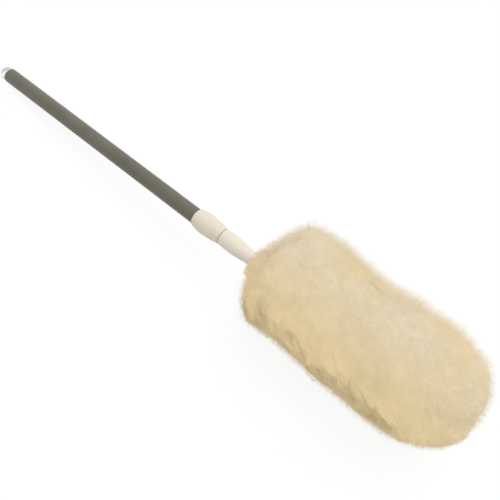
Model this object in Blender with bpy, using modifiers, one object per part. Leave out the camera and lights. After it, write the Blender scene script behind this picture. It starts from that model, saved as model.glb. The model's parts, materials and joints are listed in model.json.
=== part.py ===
"""An extendable wool duster, lying on a flat surface with its handle pushed together.

Every piece is turned or placed about the handle's axis, which is the local +Z of the
empty duster_axis, from the butt end at zero towards the wool head. Local +X is the side
that faces the surface. All sizes are in metres.
"""

import math

import bmesh
import bpy
from mathutils import Matrix

# Play between pieces
seat_gap = 0.0003
slide_gap = 0.0003
stop_gap = 0.0005
cut_overrun = 0.003

# How the duster lies: the handle's axis rises from the butt end to the head
rest_tilt = math.radians(5.3)

# Outer tube
tube_radius = 0.0115
tube_wall = 0.0008
tube_edge = 0.00025

# Hanging cap, a plug in the butt end with a strap loop
cap_plug_length = 0.024
cap_wall = 0.0018
cap_flange_thickness = 0.0016
cap_flange_inset = 0.0005
cap_edge = 0.0004
loop_reach = 0.0198
loop_radius = 0.0107
loop_strap_thickness = 0.0018
loop_strap_width = 0.0064
loop_foot_depth = 0.0008

# Guide bush in the outer tube's mouth
bush_length = 0.032
bush_flange_thickness = 0.002

# Guide collar over the outer tube's mouth
collar_grip_length = 0.0346
collar_length = 0.0486
collar_lip_radius = 0.0128
collar_belly_radius = 0.0154
collar_front_radius = 0.0121
collar_belly_share = 0.34
collar_bore_gap = 0.0004
collar_edge = 0.0005

# Inner tube and how far it slides out
inner_radius = 0.00875
inner_wall = 0.0008
travel = 0.330
stowed_clearance = 0.0222

# Stud, nut and washer of the twist lock
stud_radius = 0.003
stud_pitch = 0.002
stud_grip = 0.020
stud_tail = 0.002
stud_edge = 0.0005
loosening_turns = 1.0
nut_thickness = 0.004
nut_corner_radius = 0.0055
washer_thickness = 0.0008
washer_radius = 0.0078

# Expander sleeve and the wedge nut inside it
expander_length = 0.032
expander_mouth_radius = 0.0086
expander_throat_radius = 0.0052
expander_cone_length = 0.019
expander_slot_width = 0.0016
expander_slot_length = 0.022
expander_edge = 0.0005
wedge_length = 0.015
wedge_key_length = 0.012
wedge_key_height = 0.0009

# Plug and cross pin in the inner tube's rear end
plug_flange_radius = 0.0099
plug_flange_thickness = 0.003
plug_length = 0.026
pin_radius = 0.00125
pin_reach = 0.010

# Nose cone, the front ferrule between the inner tube and the head
seam_gap = 0.0009
nose_visible_length = 0.0456
nose_neck_length = 0.034
nose_rear_radius = 0.0119
nose_belly_radius = 0.0126
nose_neck_radius = 0.0101
nose_belly_share = 0.33
nose_socket_depth = 0.027
nose_web = 0.017
nose_edge = 0.0005

# Core of the head: a rod with a strip of hide wound round it
rod_radius = 0.008
rod_spigot_radius = 0.006
rod_length = 0.264
strip_thickness = 0.0019
strip_pitch = 0.041
strip_edge_gap = 0.001
strip_end_margin = 0.0006

# Screws, tacks and the end disc of the head
screw_radius = 0.002
screw_head_radius = 0.0042
screw_head_thickness = 0.0022
core_screw_length = 0.036
end_screw_length = 0.016
pilot_overrun = 0.001
disc_thickness = 0.0018
tack_radius = 0.0007
tack_length = 0.005
tack_head_radius = 0.0024
tack_head_thickness = 0.0006
tack_sink = 0.0003
tack_turn_shares = (0.15, 0.65)

# Wool, as wide and long as its fluffed pile
wool_radius = 0.0789
wool_side_shift = 0.0076
wool_side_drift = 0.0033
wool_ripple = 0.003
wool_ripple_pitch = 0.222
wool_crest = 0.068
wool_lobe_rise = 0.005
wool_lobe_pitch = 0.081
wool_lobe_crest = 0.092
wool_shoulder = 0.0476
wool_barrel = 0.2123
wool_tip = 0.0831
wool_overlap = 0.021
wool_bore_gap = 0.0004

# Larger tufts that stand out or fall back: share of the wool's length, of a turn and of the rise
wool_tuft_rise = 0.006
wool_tuft_span = 0.02
wool_tuft_shares = (
    (0.09, 0.057, 1.1),
    (0.35, 0.057, -1.2),
    (0.49, 0.057, -0.6),
    (0.62, 0.057, 0.5),
    (0.815, 0.057, -1.9),
    (0.93, 0.057, 3.0),
    (0.03, 0.557, 1.6),
    (0.3, 0.557, -1.2),
    (0.85, 0.557, -0.8),
)

# How finely round shapes are divided
ROUND_STEPS = 48
SMALL_STEPS = 24
HEX_SIDES = 6
BARREL_POINTS = 6
LOOP_POINTS = 12
WOOL_STEPS = 24
WOOL_LOBES = 6
TIP_RINGS = 5
BARREL_RINGS = 10
SHOULDER_RINGS = 4
STRIP_STEPS_PER_TURN = 20
MERGE_DISTANCE = 0.00001
SHARP_ANGLE = math.radians(32)

# Radii that follow from the pieces beside them
tube_bore = tube_radius - tube_wall
inner_bore = inner_radius - inner_wall
slide_bore = inner_radius + slide_gap
stud_hole = stud_radius + seat_gap
pin_hole = pin_radius + seat_gap
screw_hole = screw_radius + seat_gap
strip_radius = rod_radius + seat_gap
strip_outer_radius = strip_radius + strip_thickness
strip_width = strip_pitch - strip_edge_gap
wool_bore = max(strip_outer_radius, nose_neck_radius) + wool_bore_gap

# Places along the handle's axis, from the butt end
loosening_travel = stud_pitch * loosening_turns
stud_rear_z = cap_plug_length + stowed_clearance
nut_rear_z = stud_rear_z + stud_tail
wedge_rear_z = nut_rear_z + nut_thickness + seat_gap + loosening_travel
washer_rear_z = wedge_rear_z + expander_length + seat_gap
plug_rear_z = washer_rear_z + washer_thickness + seat_gap
plug_stop_z = plug_rear_z + plug_flange_thickness
stud_front_z = plug_rear_z + stud_grip
pin_z = plug_stop_z + pin_reach
bush_rear_z = plug_stop_z + stop_gap + travel
tube_length = bush_rear_z + bush_length
collar_rear_z = tube_length - collar_grip_length
nose_rear_z = collar_rear_z + collar_length + seam_gap
web_rear_z = nose_rear_z + nose_socket_depth
web_front_z = web_rear_z + nose_web
nose_length = nose_visible_length + nose_neck_length
inner_rear_z = plug_stop_z + seat_gap
inner_length = web_rear_z - seat_gap - inner_rear_z
rod_rear_z = web_front_z + seat_gap
rod_shoulder_z = nose_rear_z + nose_length + seat_gap
rod_front_z = rod_shoulder_z + rod_length
disc_z = rod_front_z + seat_gap
end_head_z = disc_z + disc_thickness + seat_gap
wool_rear_z = nose_rear_z + nose_length - wool_overlap
wool_length = wool_shoulder + wool_barrel + wool_tip
wool_front_z = wool_rear_z + wool_length
overall_length = wool_front_z + loop_reach

# Colours (linear RGB), roughness and metallic value of each material
MATERIALS = {
    "taupe_coating": ((0.136, 0.127, 0.098, 1.0), 0.55, 0.0),
    "clear_white_plastic": ((0.88, 0.88, 0.85, 1.0), 0.35, 0.0),
    "ivory_plastic": ((0.80, 0.755, 0.61, 1.0), 0.5, 0.0),
    "nose_plastic": ((0.85, 0.78, 0.67, 1.0), 0.5, 0.0),
    "white_acetal": ((0.83, 0.83, 0.81, 1.0), 0.45, 0.0),
    "black_nylon": ((0.02, 0.02, 0.02, 1.0), 0.5, 0.0),
    "bright_steel": ((0.56, 0.56, 0.55, 1.0), 0.28, 1.0),
    "drawn_aluminium": ((0.72, 0.72, 0.72, 1.0), 0.32, 1.0),
    "beech": ((0.52, 0.33, 0.17, 1.0), 0.6, 0.0),
    "sheepskin": ((0.62, 0.50, 0.34, 1.0), 0.8, 0.0),
    "lambswool": ((0.76, 0.63, 0.40, 1.0), 0.95, 0.0),
}


def new_collection(name):
    """Make a collection under the scene."""
    made = bpy.data.collections.new(name)
    bpy.context.scene.collection.children.link(made)
    return made


def material(name):
    """Give back the named Principled material, made on first use."""
    found = bpy.data.materials.get(name)
    if found:
        return found
    colour, roughness, metallic = MATERIALS[name]
    made = bpy.data.materials.new(name)
    made.use_nodes = True
    shader = made.node_tree.nodes["Principled BSDF"]
    shader.inputs["Base Color"].default_value = colour
    shader.inputs["Roughness"].default_value = roughness
    shader.inputs["Metallic"].default_value = metallic
    made.diffuse_color = colour
    return made


def add_empty(name, parent):
    """Make an empty on the handle's axis that carries a group of pieces."""
    made = bpy.data.objects.new(name, None)
    parts.objects.link(made)
    made.parent = parent
    return made


def add_piece(name, mesh, parent, look, z=0.0):
    """Make one named piece from its mesh, placed along its parent's axis."""
    made = bpy.data.objects.new(name, mesh)
    parts.objects.link(made)
    made.parent = parent
    made.location = (0, 0, z)
    mesh.materials.append(material(look))
    return made


def add_cutter(name, mesh, parent, z=0.0):
    """Make an object that only cuts or joins, in the cutters' collection."""
    made = bpy.data.objects.new(name, mesh)
    cutters.objects.link(made)
    made.parent = parent
    made.location = (0, 0, z)
    made.hide_render = True
    made.display_type = "WIRE"
    return made


def combine(target, tool, operation="DIFFERENCE"):
    """Cut a target with a tool, or join the two."""
    change = target.modifiers.new(tool.name, "BOOLEAN")
    change.operation = operation
    change.solver = "EXACT"
    change.object = tool


def line_mesh(name, points, closed):
    """Make a line through points given as radius and height."""
    mesh = bpy.data.meshes.new(name)
    shape = bmesh.new()
    corners = [shape.verts.new((radius, 0, height)) for radius, height in points]
    for first, second in zip(corners, corners[1:]):
        shape.edges.new((first, second))
    if closed:
        shape.edges.new((corners[-1], corners[0]))
    shape.to_mesh(mesh)
    shape.free()
    return mesh


def turn(made, steps):
    """Turn an object's line round its own Z axis."""
    screw = made.modifiers.new("turn", "SCREW")
    screw.axis = "Z"
    screw.angle = math.tau
    screw.steps = steps
    screw.render_steps = steps
    screw.use_merge_vertices = True
    screw.merge_threshold = MERGE_DISTANCE


def turned(name, points, parent, look, z=0.0, steps=ROUND_STEPS, closed=True):
    """Turn a profile that runs down its outer side, top to bottom, about the axis."""
    made = add_piece(name, line_mesh(name, points, closed), parent, look, z)
    turn(made, steps)
    return made


def cylinder_mesh(name, radius, depth, steps=SMALL_STEPS):
    """Make a cylinder that stands on the XY plane."""
    mesh = bpy.data.meshes.new(name)
    shape = bmesh.new()
    bmesh.ops.create_cone(
        shape,
        cap_ends=True,
        segments=steps,
        radius1=radius,
        radius2=radius,
        depth=depth,
        matrix=Matrix.Translation((0, 0, depth / 2)),
    )
    shape.to_mesh(mesh)
    shape.free()
    return mesh


def box_mesh(name, low, high):
    """Make a box between two corners."""
    mesh = bpy.data.meshes.new(name)
    middle = [(a + b) / 2 for a, b in zip(low, high)]
    size = [b - a for a, b in zip(low, high)]
    shape = bmesh.new()
    place = Matrix.Translation(middle) @ Matrix.Diagonal((*size, 1))
    bmesh.ops.create_cube(shape, size=1, matrix=place)
    shape.to_mesh(mesh)
    shape.free()
    return mesh


def barrel_side(top, top_radius, belly, belly_radius, bottom, bottom_radius):
    """List an outer side, from top to bottom, that swells to a belly on its way."""
    points = []
    for step in range(BARREL_POINTS):
        share = step / BARREL_POINTS
        swell = math.sin(math.pi / 2 * share)
        points.append((top_radius + (belly_radius - top_radius) * swell, top + (belly - top) * share))
    for step in range(BARREL_POINTS + 1):
        share = step / BARREL_POINTS
        swell = math.cos(math.pi / 2 * share)
        points.append(
            (bottom_radius + (belly_radius - bottom_radius) * swell, belly + (bottom - belly) * share)
        )
    return points


def round_bar(radius, length, edge):
    """List the profile of a plain bar with broken edges."""
    return [
        (0, length),
        (radius - edge, length),
        (radius, length - edge),
        (radius, edge),
        (radius - edge, 0),
        (0, 0),
    ]


def build_outer_tube(parent):
    """The outer tube, open at both ends, with its edges broken."""
    points = [
        (tube_radius - tube_edge, tube_length),
        (tube_radius, tube_length - tube_edge),
        (tube_radius, tube_edge),
        (tube_radius - tube_edge, 0),
        (tube_bore, 0),
        (tube_bore, tube_length),
    ]
    turned("outer_tube", points, parent, "taupe_coating")


def build_hanging_cap(parent):
    """The plug in the butt end, with its flange and the strap loop that hangs on a hook."""
    top = -seat_gap
    bottom = top - cap_flange_thickness
    flange_radius = tube_radius - cap_flange_inset
    plug_radius = tube_bore - seat_gap
    bore = plug_radius - cap_wall
    points = [
        (0, top),
        (bore, top),
        (bore, cap_plug_length),
        (plug_radius - cap_edge, cap_plug_length),
        (plug_radius, cap_plug_length - cap_edge),
        (plug_radius, top),
        (flange_radius, top),
        (flange_radius, bottom + cap_edge),
        (flange_radius - cap_edge, bottom),
        (0, bottom),
    ]
    cap = turned("hanging_cap", points, parent, "clear_white_plastic", closed=False)
    combine(cap, build_loop(parent, bottom), "UNION")


def loop_arc(radius, centre, backwards):
    """List the points of one side of the loop's round end."""
    steps = range(LOOP_POINTS, -1, -1) if backwards else range(LOOP_POINTS + 1)
    angles = [math.pi * step / LOOP_POINTS for step in steps]
    return [(radius * math.cos(angle), centre - radius * math.sin(angle)) for angle in angles]


def build_loop(parent, bottom):
    """The strap loop: two legs that stand in the cap's flange, and a half round end."""
    foot = bottom + loop_foot_depth
    centre = loop_radius - loop_reach
    inner = loop_radius - loop_strap_thickness
    points = [
        (loop_radius, foot),
        *loop_arc(loop_radius, centre, False),
        (-loop_radius, foot),
        (-inner, foot),
        *loop_arc(inner, centre, True),
        (inner, foot),
    ]
    outline = bpy.data.curves.new("loop_outline", "CURVE")
    outline.dimensions = "2D"
    outline.fill_mode = "BOTH"
    outline.extrude = loop_strap_width / 2
    line = outline.splines.new("POLY")
    line.points.add(len(points) - 1)
    for corner, (across, along) in zip(line.points, points):
        corner.co = (across, along, 0, 1)
    line.use_cyclic_u = True
    flat = bpy.data.objects.new("loop_outline", outline)
    cutters.objects.link(flat)
    flat.parent = parent
    flat.rotation_euler = (math.pi / 2, 0, math.pi / 2)
    return closed_copy(flat, "loop_strap")


def closed_copy(source, name):
    """Replace a curve with a closed mesh in its place, for a Boolean."""
    graph = bpy.context.evaluated_depsgraph_get()
    mesh = bpy.data.meshes.new_from_object(source.evaluated_get(graph))
    mesh.name = name
    shape = bmesh.new()
    shape.from_mesh(mesh)
    bmesh.ops.remove_doubles(shape, verts=shape.verts, dist=MERGE_DISTANCE)
    shape.to_mesh(mesh)
    shape.free()
    made = add_cutter(name, mesh, None)
    bpy.context.view_layer.update()
    made.matrix_world = source.matrix_world
    bpy.data.objects.remove(source, do_unlink=True)
    return made


def build_guide_bush(parent):
    """The flanged bush that the inner tube slides in."""
    body_radius = tube_bore - seat_gap
    seat = bush_length + seat_gap
    top = seat + bush_flange_thickness
    points = [
        (tube_radius, top),
        (tube_radius, seat),
        (body_radius, seat),
        (body_radius, 0),
        (slide_bore, 0),
        (slide_bore, top),
    ]
    turned("guide_bush", points, parent, "white_acetal", bush_rear_z)


def build_guide_collar(parent):
    """The swelling collar that covers the tube's mouth and holds the bush's flange."""
    socket_radius = tube_radius + seat_gap
    socket_depth = collar_grip_length + bush_flange_thickness + 2 * seat_gap
    bore = inner_radius + collar_bore_gap
    side = barrel_side(
        collar_length - collar_edge,
        collar_front_radius,
        collar_length * collar_belly_share,
        collar_belly_radius,
        collar_edge,
        collar_lip_radius,
    )
    points = [
        (collar_front_radius - collar_edge, collar_length),
        *side,
        (collar_lip_radius - collar_edge, 0),
        (socket_radius, 0),
        (socket_radius, socket_depth),
        (bore, socket_depth),
        (bore, collar_length),
    ]
    turned("guide_collar", points, parent, "ivory_plastic", collar_rear_z)


def build_expander(parent):
    """The slotted sleeve that the wedge nut spreads against the outer tube's bore."""
    radius = tube_bore - seat_gap
    points = [
        (radius - expander_edge, expander_length),
        (radius, expander_length - expander_edge),
        (radius, expander_edge),
        (radius - expander_edge, 0),
        (expander_mouth_radius, 0),
        (expander_throat_radius, expander_cone_length),
        (stud_hole, expander_cone_length),
        (stud_hole, expander_length),
    ]
    sleeve = turned("expander_sleeve", points, parent, "black_nylon", wedge_rear_z, SMALL_STEPS)
    reach = radius + cut_overrun
    half = expander_slot_width / 2
    for name, across in (("slot_x", (reach, half)), ("slot_y", (half, reach))):
        low = (-across[0], -across[1], -cut_overrun)
        slot = box_mesh(name, low, (across[0], across[1], expander_slot_length))
        combine(sleeve, add_cutter(name, slot, parent, wedge_rear_z))


def build_wedge_nut(parent):
    """The conical nut, keyed into the expander's slots, that rides on the stud."""
    slope = (expander_throat_radius - expander_mouth_radius) / expander_cone_length
    rear_radius = expander_mouth_radius - seat_gap
    front_radius = rear_radius + slope * wedge_length
    points = [(0, wedge_length), (front_radius, wedge_length), (rear_radius, 0), (0, 0)]
    wedge = turned(
        "wedge_nut", points, parent, "white_acetal", wedge_rear_z, SMALL_STEPS, closed=False
    )
    reach = rear_radius + wedge_key_height
    half = expander_slot_width / 2 - slide_gap
    for name, across in (("key_x", (reach, half)), ("key_y", (half, reach))):
        high = (across[0], across[1], wedge_key_length)
        key = box_mesh(name, (-across[0], -across[1], seat_gap), high)
        combine(wedge, add_cutter(name, key, parent, wedge_rear_z), "UNION")
    hole = cylinder_mesh("wedge_hole", stud_hole, wedge_length + 2 * cut_overrun)
    combine(wedge, add_cutter("wedge_hole", hole, parent, wedge_rear_z - cut_overrun))


def build_stud_set(parent):
    """The threaded stud, the nut that keeps the wedge on it, and the thrust washer."""
    length = stud_front_z - stud_rear_z
    stud = turned(
        "lock_stud",
        round_bar(stud_radius, length, stud_edge),
        parent,
        "bright_steel",
        stud_rear_z,
        SMALL_STEPS,
        closed=False,
    )
    combine(stud, pin_bore)
    nut_mesh = cylinder_mesh("stud_nut", nut_corner_radius, nut_thickness, HEX_SIDES)
    nut = add_piece("stud_nut", nut_mesh, parent, "bright_steel", nut_rear_z)
    hole = cylinder_mesh("nut_hole", stud_hole, nut_thickness + 2 * cut_overrun)
    combine(nut, add_cutter("nut_hole", hole, parent, nut_rear_z - cut_overrun))
    points = [
        (washer_radius, washer_thickness),
        (washer_radius, 0),
        (stud_hole, 0),
        (stud_hole, washer_thickness),
    ]
    turned("thrust_washer", points, parent, "bright_steel", washer_rear_z, SMALL_STEPS)


def build_tube_plug(parent):
    """The plug in the inner tube's rear end, whose flange stops the slide."""
    radius = inner_bore - seat_gap
    points = [
        (0, plug_length),
        (radius, plug_length),
        (radius, plug_flange_thickness),
        (plug_flange_radius, plug_flange_thickness),
        (plug_flange_radius, 0),
        (stud_hole, 0),
        (stud_hole, stud_grip + seat_gap),
        (0, stud_grip + seat_gap),
    ]
    plug = turned(
        "tube_plug", points, parent, "white_acetal", plug_rear_z, SMALL_STEPS, closed=False
    )
    combine(plug, pin_bore)


def build_plug_pin(parent):
    """The cross pin through the inner tube, its plug and the stud."""
    reach = inner_radius - seat_gap
    mesh = cylinder_mesh("plug_pin", pin_radius, 2 * reach, SMALL_STEPS // 2)
    pin = add_piece("plug_pin", mesh, parent, "bright_steel")
    pin.location = (0, reach, pin_z)
    pin.rotation_euler = (math.pi / 2, 0, 0)


def build_pin_bore(parent):
    """The bore that the cross pin goes through."""
    reach = inner_radius + cut_overrun
    made = add_cutter("pin_bore", cylinder_mesh("pin_bore", pin_hole, 2 * reach), parent)
    made.location = (0, reach, pin_z)
    made.rotation_euler = (math.pi / 2, 0, 0)
    return made


def build_inner_tube(parent):
    """The inner tube that slides out of the handle."""
    points = [
        (inner_radius, inner_length),
        (inner_radius, 0),
        (inner_bore, 0),
        (inner_bore, inner_length),
    ]
    tube = turned("inner_tube", points, parent, "drawn_aluminium", inner_rear_z)
    combine(tube, pin_bore)


def build_nose_cone(parent):
    """The front ferrule, with a socket for the inner tube and one for the head's rod."""
    tube_socket = inner_radius + seat_gap
    rod_socket = rod_spigot_radius + seat_gap
    web_top = nose_socket_depth + nose_web
    side = barrel_side(
        nose_visible_length,
        nose_neck_radius,
        nose_visible_length * nose_belly_share,
        nose_belly_radius,
        nose_edge,
        nose_rear_radius,
    )
    points = [
        (nose_neck_radius - nose_edge, nose_length),
        (nose_neck_radius, nose_length - nose_edge),
        *side,
        (nose_rear_radius - nose_edge, 0),
        (tube_socket, 0),
        (tube_socket, nose_socket_depth),
        (screw_hole, nose_socket_depth),
        (screw_hole, web_top),
        (rod_socket, web_top),
        (rod_socket, nose_length),
    ]
    turned("nose_cone", points, parent, "nose_plastic", nose_rear_z)


def build_screw(name, parent, head_z, length, forwards):
    """A pan head screw on the axis, with its head's bearing face at head_z."""
    points = [
        (0, length),
        (screw_radius, length),
        (screw_radius, 0),
        (screw_head_radius, 0),
        (screw_head_radius, -screw_head_thickness),
        (0, -screw_head_thickness),
    ]
    made = turned(name, points, parent, "bright_steel", head_z, SMALL_STEPS, closed=False)
    if not forwards:
        made.rotation_euler = (math.pi, 0, 0)


def build_core_rod(parent):
    """The rod that the hide strip is wound on, with a spigot in the nose cone."""
    shoulder = rod_shoulder_z - rod_rear_z
    top = rod_front_z - rod_rear_z
    rear_pilot = web_rear_z + core_screw_length + pilot_overrun - rod_rear_z
    front_pilot = end_screw_length - disc_thickness + pilot_overrun
    points = [
        (0, top - front_pilot),
        (screw_hole, top - front_pilot),
        (screw_hole, top),
        (rod_radius, top),
        (rod_radius, shoulder),
        (rod_spigot_radius, shoulder),
        (rod_spigot_radius, 0),
        (screw_hole, 0),
        (screw_hole, rear_pilot),
        (0, rear_pilot),
    ]
    return turned("core_rod", points, parent, "beech", rod_rear_z, SMALL_STEPS, closed=False)


def strip_turns():
    """Count the turns that the strip makes between the rod's two ends."""
    return (rod_length - 2 * strip_end_margin - strip_width) / strip_pitch


def build_hide_strip(parent):
    """The strip of hide, wound round the rod edge beside edge."""
    turns = strip_turns()
    steps = round(turns * STRIP_STEPS_PER_TURN)
    mesh = bpy.data.meshes.new("hide_strip")
    shape = bmesh.new()
    rings = []
    for step in range(steps + 1):
        angle = math.tau * turns * step / steps
        low = strip_pitch * turns * step / steps
        section = (
            (strip_radius, low),
            (strip_outer_radius, low),
            (strip_outer_radius, low + strip_width),
            (strip_radius, low + strip_width),
        )
        rings.append(
            [shape.verts.new((r * math.cos(angle), r * math.sin(angle), z)) for r, z in section]
        )
    for before, after in zip(rings, rings[1:]):
        for corner in range(4):
            beside = (corner + 1) % 4
            shape.faces.new((before[corner], before[beside], after[beside], after[corner]))
    shape.faces.new(rings[0])
    shape.faces.new(rings[-1])
    bmesh.ops.recalc_face_normals(shape, faces=shape.faces)
    shape.to_mesh(mesh)
    shape.free()
    return add_piece("hide_strip", mesh, parent, "sheepskin", rod_shoulder_z + strip_end_margin)


def aim_outwards(made, angle, radius, z):
    """Stand an object on a point of the rod's side, with its own +Z facing outwards."""
    made.rotation_euler = (0, math.pi / 2, angle)
    made.location = (radius * math.cos(angle), radius * math.sin(angle), z)


def build_tacks(parent, rod, strip):
    """The tacks that hold the strip's ends to the rod, and their holes."""
    turns = strip_turns()
    places = [*tack_turn_shares, *(turns - share for share in reversed(tack_turn_shares))]
    head_top = strip_outer_radius - tack_sink
    tip = head_top - tack_head_thickness - tack_length
    first_middle = rod_shoulder_z + strip_end_margin + strip_width / 2
    for number, place in enumerate(places, start=1):
        angle = math.tau * place
        z = first_middle + strip_pitch * place
        points = [
            (0, tack_length + tack_head_thickness),
            (tack_head_radius, tack_length + tack_head_thickness),
            (tack_head_radius, tack_length),
            (tack_radius, tack_length),
            (tack_radius, 0),
            (0, 0),
        ]
        steps = SMALL_STEPS // 2
        name = f"strip_tack_{number}"
        tack = turned(name, points, parent, "bright_steel", 0, steps, closed=False)
        aim_outwards(tack, angle, tip, z)
        hole_name = f"tack_hole_{number}"
        hole_mesh = cylinder_mesh(hole_name, tack_radius + seat_gap, tack_length + cut_overrun, steps)
        hole = add_cutter(hole_name, hole_mesh, parent)
        aim_outwards(hole, angle, tip - seat_gap, z)
        sink_name = f"tack_sink_{number}"
        sink_mesh = cylinder_mesh(sink_name, tack_head_radius + seat_gap, cut_overrun, steps)
        sink = add_cutter(sink_name, sink_mesh, parent)
        aim_outwards(sink, angle, tip + tack_length - seat_gap, z)
        combine(rod, hole)
        combine(strip, hole)
        combine(strip, sink)


def build_end_disc(parent):
    """The disc that closes the strip's end at the tip of the rod."""
    points = [
        (strip_outer_radius, disc_thickness),
        (strip_outer_radius, 0),
        (screw_hole, 0),
        (screw_hole, disc_thickness),
    ]
    turned("end_disc", points, parent, "white_acetal", disc_z, SMALL_STEPS)


def wool_ring(ring):
    """Give a ring of the wool's cage its radius and height, counted from the tip."""
    if ring <= TIP_RINGS:
        angle = math.pi / 2 * ring / TIP_RINGS
        return wool_radius * math.sin(angle), wool_shoulder + wool_barrel + wool_tip * math.cos(angle)
    if ring <= TIP_RINGS + BARREL_RINGS:
        share = (ring - TIP_RINGS) / BARREL_RINGS
        return wool_radius, wool_shoulder + wool_barrel * (1 - share)
    share = (TIP_RINGS + BARREL_RINGS + SHOULDER_RINGS - ring) / SHOULDER_RINGS
    return wool_radius * math.sin(math.pi / 2 * share), wool_shoulder * share


def tuft_rise(height, turn):
    """Give how far the larger tufts lift the wool at a height and turn, or sink it where negative."""
    total = 0
    for length_share, turn_share, rise_share in wool_tuft_shares:
        along = height - wool_length * length_share
        aside = wool_radius * math.remainder(turn - math.tau * turn_share, math.tau)
        total += rise_share * math.exp(-(along**2 + aside**2) / wool_tuft_span**2)
    return wool_tuft_rise * total


def wool_cage():
    """Make the wool's coarse cage: a roll in soft lobes that wind round it, fuller on one side."""
    rings = TIP_RINGS + BARREL_RINGS + SHOULDER_RINGS
    mesh = bpy.data.meshes.new("fleece")
    shape = bmesh.new()
    bmesh.ops.create_uvsphere(shape, u_segments=WOOL_STEPS, v_segments=rings, radius=1)
    for corner in shape.verts:
        around = math.atan2(corner.co.y, corner.co.x)
        down = math.acos(max(-1.0, min(1.0, corner.co.z)))
        radius, height = wool_ring(round(rings * down / math.pi))
        phase = around - math.pi / 2 - math.tau * (height - wool_crest) / wool_ripple_pitch
        lean = math.sin(around)
        shift = wool_side_shift + wool_side_drift * (0.5 - height / wool_length)
        change = shift * lean + wool_ripple * math.cos(phase) * (1 + lean) / 2
        turn = around - math.pi / 2
        winding = turn + math.tau * (height - wool_lobe_crest) / wool_lobe_pitch
        change += wool_lobe_rise * math.cos(WOOL_LOBES * turn) * math.cos(winding)
        change += tuft_rise(height, turn)
        radius += change * radius / wool_radius
        corner.co = (radius * math.cos(around), radius * math.sin(around), height)
    shape.to_mesh(mesh)
    shape.free()
    return mesh


def build_fleece(parent):
    """The wool, pressed flat where it rests, round a bore that holds the rod and neck."""
    fleece = add_piece("fleece", wool_cage(), parent, "lambswool", wool_rear_z)
    smooth = fleece.modifiers.new("soften", "SUBSURF")
    smooth.levels = 1
    smooth.render_levels = 1
    bore_end = end_head_z + screw_head_thickness + wool_bore_gap
    bore_start = wool_rear_z - cut_overrun
    bore = cylinder_mesh("wool_bore", wool_bore, bore_end - bore_start)
    combine(fleece, add_cutter("wool_bore", bore, parent, bore_start))
    reach = overall_length
    ground = box_mesh("ground", (-reach, -reach, -reach), (reach, reach, 0))
    combine(fleece, add_cutter("ground", ground, None))


def bake(made):
    """Keep a piece's evaluated mesh, smooth but for its real edges."""
    graph = bpy.context.evaluated_depsgraph_get()
    mesh = bpy.data.meshes.new_from_object(made.evaluated_get(graph))
    made.modifiers.clear()
    made.data = mesh
    mesh.shade_smooth()
    mesh.set_sharp_from_angle(angle=SHARP_ANGLE)


for old in list(bpy.data.objects):
    bpy.data.objects.remove(old, do_unlink=True)
parts = new_collection("extendable_duster")
cutters = new_collection("cutters")

# The handle's axis, with the outer tube's rear edge on the ground
duster_axis = add_empty("duster_axis", None)
duster_axis.rotation_euler = (0, math.pi / 2 - rest_tilt, 0)
duster_axis.location = (
    -(wool_front_z - loop_reach) / 2 * math.cos(rest_tilt),
    -wool_side_shift - wool_ripple / 2,
    tube_radius * math.cos(rest_tilt) - tube_edge * math.sin(rest_tilt),
)

# What slides, and what turns on it
lock_slide = add_empty("lock_slide", duster_axis)
head_twist = add_empty("head_twist", lock_slide)
wedge_slide = add_empty("wedge_slide", lock_slide)

build_outer_tube(duster_axis)
build_hanging_cap(duster_axis)
build_guide_bush(duster_axis)
build_guide_collar(duster_axis)
build_expander(lock_slide)
build_wedge_nut(wedge_slide)
pin_bore = build_pin_bore(head_twist)
build_stud_set(head_twist)
build_tube_plug(head_twist)
build_plug_pin(head_twist)
build_inner_tube(head_twist)
build_nose_cone(head_twist)
build_screw("core_screw", head_twist, web_rear_z - seat_gap, core_screw_length, True)
core_rod = build_core_rod(head_twist)
hide_strip = build_hide_strip(head_twist)
build_tacks(head_twist, core_rod, hide_strip)
build_end_disc(head_twist)
build_screw("end_screw", head_twist, end_head_z, end_screw_length, False)
build_fleece(head_twist)

bpy.context.view_layer.update()
for made in list(parts.objects):
    if made.type == "MESH":
        bake(made)
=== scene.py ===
"""An extendable lambswool duster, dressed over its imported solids.

It is laid out as an add-on and run as a script: main() registers the classes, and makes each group
of pieces through its operator.
"""

import json
import math

import bmesh
import bpy
import numpy as np
from bpy.props import FloatProperty, FloatVectorProperty, IntProperty, PointerProperty
from mathutils import Matrix, Vector
from mathutils.bvhtree import BVHTree
from mathutils.kdtree import KDTree


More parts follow.
